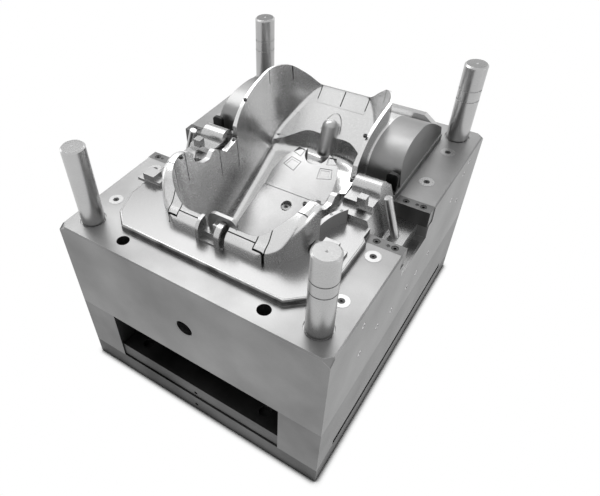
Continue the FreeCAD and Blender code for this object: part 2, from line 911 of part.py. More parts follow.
def pan_blank():
    """Raised seat pan, both pieces in one, standing on the floor of the well."""
    seam = pan_rear - pan_seam_from_rear
    y0 = seat_front + 70
    a, b, r = pan_front_half_width, pan_seam_half_width, pan_rear_radius
    k = r * 0.75
    z0 = parting - floor_drop - 20
    places = ((a, y0), (b + 2, seam), (b, seam), (b + 3, seam + 48), (b - 6, seam + 95))
    right = [V(x, y, z0) for x, y in places]
    tip = V(0, pan_rear, z0)
    arc = spline([right[4], V(k, pan_rear - r * 0.24, z0), tip], V(-0.35, 1, 0), V(-1, 0, 0))
    left = [V(-p.x, p.y, p.z) for p in right]
    arc2 = spline([tip, V(-k, pan_rear - r * 0.24, z0), left[4]], V(-1, 0, 0), V(-0.35, -1, 0))
    edges = [Part.makeLine(right[i], right[i + 1]) for i in range(4)]
    edges += [arc, arc2] + [Part.makeLine(left[i + 1], left[i]) for i in reversed(range(4))]
    edges.append(Part.makeLine(left[0], right[0]))
    prism = Part.Face(Part.Wire(edges)).extrude(V(0, 0, floor_drop + 100))
    slab = [
        (y0 - 10, z0 - 5),
        (y0 - 10, seat_pan_z(y0) - 30),
        (y0 + 60, seat_pan_z(y0 + 60)),
        (pan_rear + 20, seat_pan_z(pan_rear + 20)),
        (pan_rear + 20, z0 - 5),
    ]
    return prism.common(along_x(slab, side))


def pan_screw_seat():
    """Place and level of the seat under the pan screw's head."""
    y = pan_rear - pan_seam_from_rear - pan_screw_from_seam
    return y, seat_pan_z(y) - screw_head_height - 4


def above_pan(depth, y0, y1):
    """Everything higher than a plane that lies depth below the pan's face."""
    top = parting + 80
    return along_x([(y0, seat_pan_z(y0) - depth), (y1, seat_pan_z(y1) - depth), (y1, top), (y0, top)], side)


def pan_pieces(blank):
    """Front and rear piece of the pan, parted at the seam, let into the insert's floor."""
    seam = pan_rear - pan_seam_from_rear
    floor = parting - floor_drop
    foot = seat_pan_z(seam) - pan_height - pan_let_in
    y, seat = pan_screw_seat()
    gap = pan_seam_gap / 2
    front_piece = blank.common(box(-side, side, front, seam - gap, floor - pan_let_in, parting + 50))
    rear_piece = blank.common(box(-side, side, seam + gap, rear, foot, parting + 50))
    front_piece = front_piece.cut([
        rod(0, y, seat, parting, screw_head_radius + screw_gap),
        rod(0, y, floor - 30, parting, screw_shank_radius + screw_gap),
    ])
    recess = rod(0, seat_wing - recess_before_wing, floor, parting + 50, recess_radius)
    recess = recess.common(above_pan(recess_depth, seam, pan_rear + recess_radius))
    return front_piece, rear_piece.cut([recess] + pan_fields())


def pan_fields():
    """Four shallow four-sided fields in the rear pan piece, following its slope."""
    cutters = []
    lid = above_pan(field_depth, pan_rear - pan_seam_from_rear, pan_rear + 60)
    rows = (
        (field_rear_back, field_rear_x, field_rear_size),
        (field_front_back, field_front_x, field_front_size),
    )
    for back, x, size in rows:
        y = pan_rear - back
        h = size / 2
        corners = [
            (x - h * 0.7, y - h * 0.9),
            (x + h, y - h * 0.4),
            (x + h * 0.5, y + h * 0.75),
            (x - h, y + h * 0.5),
        ]
        field = upright(corners, parting - floor_drop, parting + 60).common(lid)
        cutters += [field, mirrored(field)]
    return cutters


def buckle_peg():
    """Round-nosed core pin leaning back from the recess into the backrest."""
    body = peg_cylinder(peg_radius, peg_length)
    ends = [e for e in body.Edges if e.BoundBox.XLength > peg_radius and abs(e.BoundBox.ZLength) < 30]
    return body.makeFillet(peg_rounding, [e for e in ends if e.Length < 8 * peg_radius])


def peg_cylinder(radius, length):
    a = radians(peg_lean)
    foot = V(0, seat_wing + peg_foot_behind_wing, parting - peg_foot_drop)
    return Part.makeCylinder(radius, length, foot, V(0, sin(a), cos(a)))


def backrest_z(y):
    return parting - bight_top_drop + (y - bight_y) * back_slope


def peg_arch():
    """Thin arch-shaped groove in the backrest around the top of the peg."""
    inner = peg_radius + peg_arch_gap
    ring = peg_cylinder(inner + peg_arch_width, 2 * peg_length).cut(peg_cylinder(inner, 2 * peg_length))
    drop = peg_arch_depth / cos(radians(backrest_slope))
    y0, y1 = bight_y + 2, seat_rear
    slab = [
        (y0, backrest_z(y0) - drop),
        (y1, backrest_z(y1) - drop),
        (y1, backrest_z(y1) + pan_height),
        (y0, backrest_z(y0) + pan_height),
    ]
    return ring.common(along_x(slab, side))


def rear_heel_bar():
    z0 = parting
    z1 = parting + heel_rise
    w = shelf_half_width - heel_side_inset
    y0 = insert_rear + heel_gap
    corners = ((-w, z0), (w, z0), (w, z1 - 29), (w - 40, z1), (-w + 40, z1), (-w, z1 - 29), (-w, z0))
    pts = [V(x, y0, z) for x, z in corners]
    return Part.Face(Part.makePolygon(pts)).extrude(V(0, heel_length, 0))


def notch_block():
    """Stepped block in the front notch of the collar."""
    n = notch_half_width - notch_gap
    y0 = seat_front - collar_wall - notch_lead
    y1 = y0 + notch_low_depth
    y2 = y1 + notch_mid_depth
    y3 = seat_front + notch_tail
    z = parting + plateau_rise
    low = box(-n, n, y0, y1 + 1, z, z + notch_low_rise)
    mid = box(-n, n, y1, y2 + 1, z, z + notch_mid_rise)
    high = box(-n * 0.25, n * 0.8, y2, y3, z, z + notch_high_rise)
    return low.fuse([mid, high]).removeSplitter()


def stop_plate():
    """Dark plate with a rounded top behind the slider head."""
    x = side - stop_plate_inset
    h = stop_plate_width / 2
    y0 = slider_rear + stop_plate_back
    z0 = parting + plateau_rise
    z1 = parting + stop_plate_rise
    plate = box(x - h, x + h, y0, y0 + stop_plate_thickness, z0, z1)
    tops = [e for e in plate.Edges if e.BoundBox.YLength > 5 and e.BoundBox.ZMin > z1 - 1]
    return plate.makeFillet(stop_plate_rounding, tops)


def step_block(x):
    """Stepped locating block on the plateau beside the collar, its low step toward the rim."""
    y = seat_front + step_block_from_seat
    l, d = step_block_length / 2, step_block_depth / 2
    z0 = parting + plateau_rise
    flange = box(x - l - step_flange, x + l + step_flange, y - d - 3, y + d, z0, z0 + step_flange_height)
    body = box(x - l, x + l, y - d, y + d, z0, parting + step_block_rise)
    low = box(x - l - step_flange, x - l + 1, y - d, y + d - 8, z0, z0 + step_low_height)
    return flange.fuse([body, low]).removeSplitter()


def arc_insert():
    """Curved wall outside the thin rim, bending away from it toward the slider."""
    z0 = parting + plateau_rise
    x = seat_half_width + wing_wall + arc_gap
    y0 = collar_rear + 1
    y1 = slider_front - arc_end_gap
    bend = (y1 - y0) ** 2 / (2 * arc_radius)
    mid = bend * 0.25
    t = arc_thickness
    outer = Part.Arc(V(x + t, y0, z0), V(x + t + mid, (y0 + y1) / 2, z0), V(x + t + bend, y1, z0))
    inner = Part.Arc(V(x + bend, y1, z0), V(x + mid, (y0 + y1) / 2, z0), V(x, y0, z0))
    edges = [
        outer.toShape(),
        Part.makeLine(V(x + t + bend, y1, z0), V(x + bend, y1, z0)),
        inner.toShape(),
        Part.makeLine(V(x, y0, z0), V(x + t, y0, z0)),
    ]
    body = Part.Face(Part.Wire(edges)).extrude(V(0, 0, arc_rise - plateau_rise))
    corner = [e for e in body.Edges if e.BoundBox.ZLength > 10 and e.BoundBox.XMin > x + t + bend - 1]
    return body.makeFillet(arc_end_rounding, corner)


def spacer(sign):
    x0, x1 = (side - spacer_width, side) if sign > 0 else (-side, -side + spacer_width)
    body = box(x0, x1, front, rear, clamp_top, block_bottom)
    outer = sign * side
    inner = sign * (side - clamp_slot_depth)
    y1 = rear - clamp_slot_inset
    slot = box(min(outer, inner), max(outer, inner), -y1, y1, clamp_top - 1, clamp_top + clamp_slot_height)
    body = body.cut(slot)
    for x, y in clamp_screw_places():
        if x * sign > 0:
            body = body.cut(rod(x, y, clamp_top - 1, block_bottom + 1, clamp_screw_radius + 0.5))
    return body


def clamp_screw_places():
    x = side - spacer_width / 2
    ys = [-0.40, -0.14, 0.14, 0.40]
    return [(sx * x, k * block_depth) for k in ys for sx in (-1, 1)]


def insert_screw_places():
    y = [seat_front + 60, seat_front + 330, seat_rear - 66]
    x = seat_half_width - 80
    return [(sx * x, yy) for yy in y for sx in (-1, 1)]


def guide_pin_places():
    x = box_half_width - 50
    return [(sx * x, sy * (rear - 110)) for sy in (-1, 1) for sx in (-1, 1)]


def support_places():
    return [(0, seat_front + 150), (0, seat_front + 420)]


def clamp_plate():
    body = box(-side, side, front, rear, 0, clamp_top)
    cuts = [rod(0, 0, -1, clamp_top + 1, press_rod_radius)]
    for x, y in clamp_screw_places():
        cuts.append(rod(x, y, -1, clamp_top + 1, clamp_screw_radius + 0.5))
        cuts.append(rod(x, y, -1, clamp_head_height + 1, clamp_head_radius + 0.5))
    for x, y in guide_pin_places():
        cuts.append(rod(x, y, clamp_top - 20, clamp_top + 1, guide_pin_radius))
    eye = Part.makeCylinder(plate_eye_radius, plate_eye_depth, V(0, front, clamp_top - 38), V(0, 1, 0))
    cuts.append(eye)
    body = body.cut(cuts)
    lower = [e for e in body.Edges if e.BoundBox.ZMax < 0.5 and e.Length > 500]
    return body.makeChamfer(2.0, lower)


def ejector_plate(z0, z1, is_base):
    half = box_half_width - ejector_side_gap
    body = box(-half, half, front + ejector_end_inset, rear - ejector_end_inset, z0, z1)
    cuts = []
    for x, y in guide_pin_places():
        cuts.append(rod(x, y, z0 - 1, z1 + 1, guide_pin_radius + guide_pin_gap))
    for x, y in support_places():
        cuts.append(rod(x, y, z0 - 1, z1 + 1, support_radius + support_gap))
    for x, y in plate_screw_places():
        if is_base:
            cuts.append(rod(x, y, z0 - 1, z1 + 1, plate_screw_radius + 0.5))
            cuts.append(rod(x, y, z0 - 1, z0 + plate_head_height, plate_head_radius + 0.5))
        else:
            cuts.append(rod(x, y, z0 - 1, z0 + 16, plate_screw_radius))
    if is_base:
        middle = V(0, front, (z0 + z1) / 2)
        cuts.append(Part.makeCylinder(plate_eye_radius, plate_eye_depth, middle, V(0, 1, 0)))
    else:
        for x in (-through_x, through_x):
            cuts.append(rod(x, through_y, z0 - 1, z1 + 1, through_radius))
            cuts.append(rod(x, -through_y, z0 - 1, z1 + 1, through_radius))
        for row in ejector_table():
            for x in (row[6], -row[6]):
                cuts.append(rod(x, row[7], z0 - 1, z1 + 1, rod_radius))
    return body.cut(cuts)


def plate_screw_places():
    half = box_half_width - 40
    return [(sx * half, k * block_depth) for k in (-0.25, 0.0, 0.25) for sx in (-1, 1)]


def ejector_rods():
    rods = []
    for row in ejector_table():
        drop, rx, ry = row[5], row[6], row[7]
        for x in (rx, -rx):
            rods.append(rod(x, ry, retainer_bottom, parting - drop, rod_radius))
    return Part.makeCompound(rods)


def rod_holes():
    out = []
    for row in ejector_table():
        drop, rx, ry = row[5], row[6], row[7]
        for x in (rx, -rx):
            out.append(rod(x, ry, insert_bottom - 5, parting - drop, rod_hole_radius))
    return out


def build():
    blank = seat_insert_blank()
    zones, ejectors = [], {}
    for row in ejector_table():
        wide = ejector_zone(row, ejector_gap)
        tight = ejector_zone(row, 0.0)
        piece = blank.common(tight)
        ejectors[row[0] + "_right"] = piece
        ejectors[row[0] + "_left"] = mirrored(piece)
        zones += [wide, mirrored(wide)]
    pan = pan_blank()
    front_piece, rear_piece = pan_pieces(pan)
    insert = blank.cut(zones)
    insert = insert.cut(rod_holes())
    insert = insert.cut([front_piece, rear_piece])
    peg = buckle_peg()
    insert = insert.cut([peg, peg_arch()])
    rear_piece = rear_piece.cut(peg)
    screw_y, seat = pan_screw_seat()
    pan_screw = cap_screw(
        0, screw_y, seat, pan_screw_length, screw_shank_radius, screw_head_radius, screw_head_height)
    insert = insert.cut(rod(0, screw_y, seat - pan_screw_length, seat, screw_shank_radius))
    for x, y in insert_screw_places():
        insert = insert.cut(rod(x, y, insert_bottom - 1, insert_bottom + 22, insert_screw_radius))
    nodes = {
        "core_plate": core_plate(),
        "cavity_insert": insert,
        "seat_pan_front": front_piece,
        "seat_pan_rear": rear_piece,
        "buckle_peg": peg,
        "pan_screw": pan_screw,
        "notch_block": notch_block(),
        "rear_heel_bar": rear_heel_bar(),
        "spacer_block_left": spacer(-1),
        "spacer_block_right": spacer(1),
        "clamp_plate": clamp_plate(),
        "gib_screws": gib_screws(),
        "gib_dowels": gib_dowels(),
        "parting_pads": parting_pads(),
        "pad_screws": pad_screws(),
        "ejector_retainer_plate": ejector_plate(retainer_bottom, ejector_top, False),
        "ejector_base_plate": ejector_plate(ejector_bottom, retainer_bottom, True),
        "ejector_rods": ejector_rods(),
    }
    nodes.update(ejectors)
    names = ("front_left", "front_right", "rear_left", "rear_right")
    for name, (x, y, grooved) in zip(names, pillar_places()):
        nodes["guide_pillar_" + name] = guide_pillar(x, y, grooved)
    pairs = {
        "gib_front": gib(True),
        "gib_rear": gib(False),
        "slider": slider(),
        "angle_pin": angle_pin(),
        "wear_plate": wear_plate(),
        "stop_plate": stop_plate(),
        "arc_insert": arc_insert(),
    }
    nodes["step_block_left"] = mirrored(step_block(seat_half_width + step_block_left_gap))
    nodes["step_block_right"] = step_block(seat_half_width + step_block_right_gap)
    for name, shape in pairs.items():
        nodes[name + "_right"] = shape
        nodes[name + "_left"] = mirrored(shape)
    nodes["ejector_guide_pins"] = Part.makeCompound([
        rod(x, y, clamp_top - 20, block_bottom + 30, guide_pin_radius) for x, y in guide_pin_places()])
    nodes["support_pillars"] = Part.makeCompound([
        rod(x, y, clamp_top, block_bottom, support_radius) for x, y in support_places()])
    nodes["stop_discs"] = Part.makeCompound([
        rod(x + 45 * (-1 if x > 0 else 1), y, clamp_top, ejector_bottom, stop_disc_radius)
        for x, y in guide_pin_places()])
    nodes["clamp_screws"] = Part.makeCompound([
        cap_screw(x, y, clamp_head_height + 1, block_bottom + 39 - clamp_head_height - 1,
                  clamp_screw_radius, clamp_head_radius, clamp_head_height, -1)
        for x, y in clamp_screw_places()])
    seat = block_bottom + insert_head_height
    sizes = (insert_bottom + 21 - seat, insert_screw_radius, insert_head_radius, insert_head_height, -1)
    screws = [cap_screw(x, y, seat, *sizes) for x, y in insert_screw_places()]
    nodes["insert_screws"] = Part.makeCompound(screws)
    seat = ejector_bottom + plate_head_height
    sizes = (retainer_bottom + 15 - seat, plate_screw_radius, plate_head_radius, plate_head_height, -1)
    screws = [cap_screw(x, y, seat, *sizes) for x, y in plate_screw_places()]
    nodes["ejector_screws"] = Part.makeCompound(screws)
    for name, shape in nodes.items():
        shape.exportStep("parts/" + name + ".step")


build()
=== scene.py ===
import json
from math import cos, radians, sin, tan

import bmesh
import bpy
from mathutils import Matrix, Vector

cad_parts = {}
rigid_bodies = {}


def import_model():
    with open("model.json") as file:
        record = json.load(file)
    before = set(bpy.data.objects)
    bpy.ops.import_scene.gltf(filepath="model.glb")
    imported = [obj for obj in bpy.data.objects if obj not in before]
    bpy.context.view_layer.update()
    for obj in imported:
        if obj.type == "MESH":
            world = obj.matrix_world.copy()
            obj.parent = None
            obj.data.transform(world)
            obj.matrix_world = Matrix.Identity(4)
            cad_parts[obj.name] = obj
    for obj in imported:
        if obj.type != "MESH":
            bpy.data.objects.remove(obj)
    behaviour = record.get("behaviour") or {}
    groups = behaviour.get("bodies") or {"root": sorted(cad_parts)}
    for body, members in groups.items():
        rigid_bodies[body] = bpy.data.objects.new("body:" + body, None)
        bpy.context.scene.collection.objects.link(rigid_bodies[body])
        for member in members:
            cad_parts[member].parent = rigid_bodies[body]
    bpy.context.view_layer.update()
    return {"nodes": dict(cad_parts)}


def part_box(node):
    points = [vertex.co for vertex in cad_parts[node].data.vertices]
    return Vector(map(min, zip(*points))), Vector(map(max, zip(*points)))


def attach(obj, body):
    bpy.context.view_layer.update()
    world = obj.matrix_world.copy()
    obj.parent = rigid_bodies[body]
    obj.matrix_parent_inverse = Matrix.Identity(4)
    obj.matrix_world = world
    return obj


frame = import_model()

# Main levels and lengths of the mould, in metres, read from the frame
core_low, core_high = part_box("core_plate")
PARTING = core_high.z
FRONT = core_low.y
SIDE = core_high.x
CENTRE = Vector((0, 0, PARTING * 0.5))

# Camera of the photograph, its lens and middle in pixels of the picture
IMAGE_WIDTH = 600.0
IMAGE_HEIGHT = 496.0
FOCAL_PIXELS = 554.3
CENTRE_PIXEL = (225.4, 258.0)
CAMERA_AZIMUTH = radians(38.39)
CAMERA_DOWN = radians(44.81)
CAMERA_ROLL = radians(-4.47)
CAMERA_PLACE = Vector((0.6358, -1.0952, 1.4989))
SENSOR_WIDTH = 36.0
NEAR_CLIP = 0.05
FAR_CLIP = 60.0

# Painted shade in the fine slits on both sides of each right-hand rim ejector, drawn as dark lines:
# name, axis across the slit, length
RIM_SLITS = (
    ("corner", "x", 0.050),
    ("corner", "y", 0.050),
    ("side", "y", 0.088),
    ("waist", "y", 0.088),
    ("wing", "y", 0.045),
    ("saddle", "x", 0.035),
)
SLIT_WIDTH = 0.0014
SLIT_PAINTED_SHADE = 0.015
SLIT_SEARCH = 0.004

# Painted shade along the seam of the front lip: axis across it, place, middle and reach along it, lowest
# point
LIP_SEAM = ("y", -0.320, 0.075, 0.040, 0.600)

# Picking of corners and faces, and the angle below which faces shade smoothly
TINY = 1e-5
FACING = 0.9
SMOOTH_BELOW = radians(35)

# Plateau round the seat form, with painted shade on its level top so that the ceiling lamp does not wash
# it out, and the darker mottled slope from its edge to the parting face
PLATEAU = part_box("step_block_right")[0].z
PLATEAU_SKIN = 0.0012
PLATEAU_INNER_X = 0.255
PLATEAU_INNER_Y = -0.360
PLATEAU_PAINTED_SHADE = 0.21
SLOPE_FOOT = 0.001
SLOPE_SHADES = (0.08, 0.30)
SLOPE_NOISE = 26.0
SLOPE_RANGE = (0.35, 0.65)

# Shelf outside the rear wings: painted shade that darkens its colour to damp its bright reflection, and
# a rougher surface
SHELF_INNER_X = 0.199
SHELF_FRONT_Y = 0.064
SHELF_PAINTED_SHADE = 0.25
SHELF_SPREAD = 0.03
SHELF_EXTRA_ROUGH = 0.12

# Faces that look straight up, by the height of their normal
FACES_UP = 0.97

# Grain of the steels: noise detail and roughness, where its ramps run, shades, height in metres
GRAIN_DETAIL = (3.0, 0.6)
GRAIN_RANGE = (0.30, 0.70)
GRAIN_SHADES = (0.90, 1.0)
ROUGH_RANGE = (0.25, 0.75)
GRAIN_HEIGHT = 0.00004
BLOTCH_SCALE = 5.0
# Where the brightened edges start, partly wear and partly painted highlight, and the samples of their
# rounding
EDGE_RANGE = (0.90, 0.995)
EDGE_SAMPLES = 4
# Spread of the painted shade on faces that look straight up
PAINTED_TOP_SPREAD = 0.12

# Proportions of a small flush screw, as shares of its radius
SCREW_DEPTH = 1.4
SCREW_SUNK = 0.4
SCREW_CHAMFER = 0.14
SOCKET_INSET = 0.40
SOCKET_DEPTH = 0.8
SCREW_SIDES = 24

# Small screws in the rim and on the arc inserts, right-hand side: X, Y, Z, radius, body
RIM_SCREWS = (
    (0.181, -0.215, 0.689, 0.0050, "ejector_set"),
    (0.188, 0.025, 0.601, 0.0045, "ejector_set"),
    (0.229, -0.114, 0.615, 0.0035, "mould_half"),
    (0.215, -0.139, 0.615, 0.0035, "mould_half"),
    (0.185, 0.088, 0.703, 0.0050, "mould_half"),
)

# Cooling ports in the side faces: Y from the front face, depth below the parting face
PORTS = ((0.165, 0.052), (0.828, 0.055), (0.860, 0.030), (0.756, 0.103), (0.171, 0.165), (0.271, 0.167),
         (0.838, 0.160), (0.370, 0.205), (0.478, 0.216), (0.547, 0.220), (0.637, 0.217))
PORT_RADIUS = 0.009
PLUG_FIT = 0.96
PLUG_SUNK = 0.0015

# Notch of the front collar: low and high X of the ribs beside it
LEFT_CHEEK = (-0.0440, -0.0345)
RIGHT_CHEEK = (0.0120, 0.0270)
CHEEK_FRONT = -0.3490
CHEEK_TOP = 0.6290
CHEEK_ROUNDING = 0.0290
WELL_FRONT = -0.3130
ROUND_SEGMENTS = 8

# Arched plate behind the notch: low and high X, top, and its own sizes
ARCH = (-0.0280, 0.0560)
ARCH_TOP = 0.6440
ARCH_SET_BACK = 0.001
ARCH_THICKNESS = 0.010
ARCH_ROUNDING = 0.022
ARCH_RIM = 0.003
ARCH_RECESS = 0.001

# Small cube on the notch block: low and high X, its gap and reach before the block's rear, rise, chamfer
CUBE = (-0.004, 0.013)
CUBE_GAP = 0.002
CUBE_REACH = 0.018
CUBE_RISE = 0.017
CUBE_CHAMFER = 0.0015

# Thin frames round the sunk fields of the rear pan piece, coloured dark as painted shade outlining each
# field: X, Y of the middle and size
PAN_FIELDS = (
    (-0.056, 0.188, 0.034),
    (0.056, 0.188, 0.034),
    (-0.057, 0.145, 0.050),
    (0.057, 0.145, 0.050),
)
FIELD_CORNERS = {
    (False, False): (-0.35, -0.45),
    (True, False): (0.50, -0.20),
    (True, True): (0.25, 0.38),
    (False, True): (-0.50, 0.25),
}
FIELD_HEIGHT = 0.0006
FIELD_LINE = 0.0014
FIELD_ROOT = 0.0030

# Slope of the seat pan: Y and Z of its rear end, and its angle
PAN_REAR = (0.213, 0.523)
PAN_SLOPE = radians(22.8)

# Light: shade of the surroundings from straight down (0) to straight up (1)
WALL_SHADES = ((0.0, 0.10), (0.48, 0.16), (0.62, 0.30), (0.82, 0.85), (1.0, 1.0))
FILL_STRENGTH = 0.85

# Soft boxes: name, place, width, height, watts
LAMPS = (
    ("ceiling box", (-1.5, 1.2, 3.2), 3.8, 2.0, 84.0),
    ("rear box", (0.4, 3.0, 1.9), 2.6, 1.0, 5.0),
    ("left box", (-3.0, -0.6, 1.3), 1.0, 1.6, 8.0),
    ("right box", (3.2, 0.6, 0.9), 1.2, 1.6, 14.0),
)

# Floor, and the painted contact shadow, a thin dark line where the mould stands on it
FLOOR_SIZE = 40.0
FLOOR_SHADE = 0.50
FLOOR_ROUGH = 0.9
FLOOR_SHINE = 0.1
CONTACT_SHADOW_WIDTH = 0.02
CONTACT_SHADOW_SAMPLES = 8
CONTACT_SHADOW_RANGE = (0.50, 0.92)
CONTACT_SHADOW_SHADE = 0.02


def clear_selection():
    """Deselect every object, so that the next operator works on its own piece alone."""
    for item in bpy.context.view_layer.objects:
        item.select_set(False)


def make_camera():
    """Camera of the photograph, turned by its azimuth, its downward look and its roll."""
    data = bpy.data.cameras.new("camera")
    camera = bpy.data.objects.new("camera", data)
    bpy.context.scene.collection.objects.link(camera)
    bpy.context.scene.camera = camera
    data.sensor_width = SENSOR_WIDTH
    data.lens = FOCAL_PIXELS * data.sensor_width / IMAGE_WIDTH
    data.shift_x = (IMAGE_WIDTH * 0.5 - CENTRE_PIXEL[0]) / IMAGE_WIDTH
    data.shift_y = (CENTRE_PIXEL[1] - IMAGE_HEIGHT * 0.5) / IMAGE_WIDTH
    data.clip_start = NEAR_CLIP
    data.clip_end = FAR_CLIP
    forward = Vector((
        -sin(CAMERA_AZIMUTH) * cos(CAMERA_DOWN),
        cos(CAMERA_AZIMUTH) * cos(CAMERA_DOWN),
        -sin(CAMERA_DOWN),
    ))
    level = forward.cross(Vector((0, 0, 1))).normalized()
    upright = level.cross(forward)
    right = level * cos(CAMERA_ROLL) + upright * sin(CAMERA_ROLL)
    up = upright * cos(CAMERA_ROLL) - level * sin(CAMERA_ROLL)
    turn = Matrix((right, up, -forward)).transposed()
    camera.matrix_world = Matrix.Translation(CAMERA_PLACE) @ turn.to_4x4()


def softbox(name, place, width, height, power):
    """Rectangular lamp that looks at the middle of the mould."""
    data = bpy.data.lights.new(name, "AREA")
    data.shape = "RECTANGLE"
    data.size = width
    data.size_y = height
    data.energy = power
    lamp = bpy.data.objects.new(name, data)
    bpy.context.scene.collection.objects.link(lamp)
    lamp.location = place
    aim = CENTRE - Vector(place)
    lamp.rotation_mode = "QUATERNION"
    lamp.rotation_quaternion = aim.to_track_quat("-Z", "Y")


def math_node(tree, operation, *values):
    """One math node; each value is a number or another node's output."""
    node = tree.nodes.new("ShaderNodeMath")
    node.operation = operation
    for slot, value in enumerate(values):
        if isinstance(value, (int, float)):
            node.inputs[slot].default_value = value
        else:
            tree.links.new(value, node.inputs[slot])
    return node.outputs[0]


def seen_directly(tree):
    """1 for rays from the camera and for mirror or transmitted rays."""
    path = tree.nodes.new("ShaderNodeLightPath")
    direct = math_node(tree, "MAXIMUM", path.outputs["Is Camera Ray"], path.outputs["Is Glossy Ray"])
    return math_node(tree, "MAXIMUM", direct, path.outputs["Is Transmission Ray"])


def make_studio():
    """White backdrop for the camera, a bright ceiling fading to grey walls, soft boxes."""
    world = bpy.data.worlds.new("studio")
    bpy.context.scene.world = world
    world.use_nodes = True
    tree = world.node_tree
    tree.nodes.clear()
    out = tree.nodes.new("ShaderNodeOutputWorld")
    seen = tree.nodes.new("ShaderNodeBackground")
    seen.inputs["Color"].default_value = grey(1.0)
    seen.inputs["Strength"].default_value = 1.0
    place = tree.nodes.new("ShaderNodeTexCoord")
    split = tree.nodes.new("ShaderNodeSeparateXYZ")
    tree.links.new(place.outputs["Generated"], split.inputs[0])
    ramp = tree.nodes.new("ShaderNodeValToRGB")
    stops = ramp.color_ramp.elements
    for at, _ in WALL_SHADES[1:-1]:
        stops.new(at)
    for stop, (_, shade) in zip(stops, WALL_SHADES):
        stop.color = grey(shade)
    height = math_node(tree, "MULTIPLY_ADD", split.outputs["Z"], 0.5, 0.5)
    tree.links.new(height, ramp.inputs["Fac"])
    fill = tree.nodes.new("ShaderNodeBackground")
    tree.links.new(ramp.outputs["Color"], fill.inputs["Color"])
    fill.inputs["Strength"].default_value = FILL_STRENGTH
    mix = tree.nodes.new("ShaderNodeMixShader")
    tree.links.new(seen_directly(tree), mix.inputs["Fac"])
    tree.links.new(fill.outputs[0], mix.inputs[1])
    tree.links.new(seen.outputs[0], mix.inputs[2])
    tree.links.new(mix.outputs[0], out.inputs["Surface"])
    for lamp in LAMPS:
        softbox(*lamp)
    make_floor()


def make_floor():
    """Pale floor: white to the camera but for a painted contact shadow, a thin dark line under the
    mould, grey to the steel.
    """
    clear_selection()
    bpy.ops.mesh.primitive_plane_add(size=FLOOR_SIZE, location=(0, 0, 0))
    floor = bpy.context.object
    floor.name = "floor"
    paper = bpy.data.materials.new("pale floor")
    paper.use_nodes = True
    tree = paper.node_tree
    shader = tree.nodes["Principled BSDF"]
    shader.inputs["Base Color"].default_value = grey(FLOOR_SHADE)
    shader.inputs["Roughness"].default_value = FLOOR_ROUGH
    shader.inputs["Specular IOR Level"].default_value = FLOOR_SHINE
    # Painted shadow: the floor's emission darkens to a thin dark line close to the mould.
    contact_shadow_ao = tree.nodes.new("ShaderNodeAmbientOcclusion")
    contact_shadow_ao.inputs["Distance"].default_value = CONTACT_SHADOW_WIDTH
    contact_shadow_ao.samples = CONTACT_SHADOW_SAMPLES
    line = tree.nodes.new("ShaderNodeValToRGB")
    for stop, at, shade in zip(line.color_ramp.elements, CONTACT_SHADOW_RANGE, (CONTACT_SHADOW_SHADE, 1.0)):
        stop.position = at
        stop.color = grey(shade)
    tree.links.new(contact_shadow_ao.outputs["AO"], line.inputs["Fac"])
    floor_with_contact_shadow = tree.nodes.new("ShaderNodeEmission")
    tree.links.new(line.outputs["Color"], floor_with_contact_shadow.inputs["Color"])
    mix = tree.nodes.new("ShaderNodeMixShader")
    tree.links.new(seen_directly(tree), mix.inputs["Fac"])
    tree.links.new(shader.outputs[0], mix.inputs[1])
    tree.links.new(floor_with_contact_shadow.outputs[0], mix.inputs[2])
    tree.links.new(mix.outputs[0], tree.nodes["Material Output"].inputs["Surface"])
    floor.data.materials.append(paper)


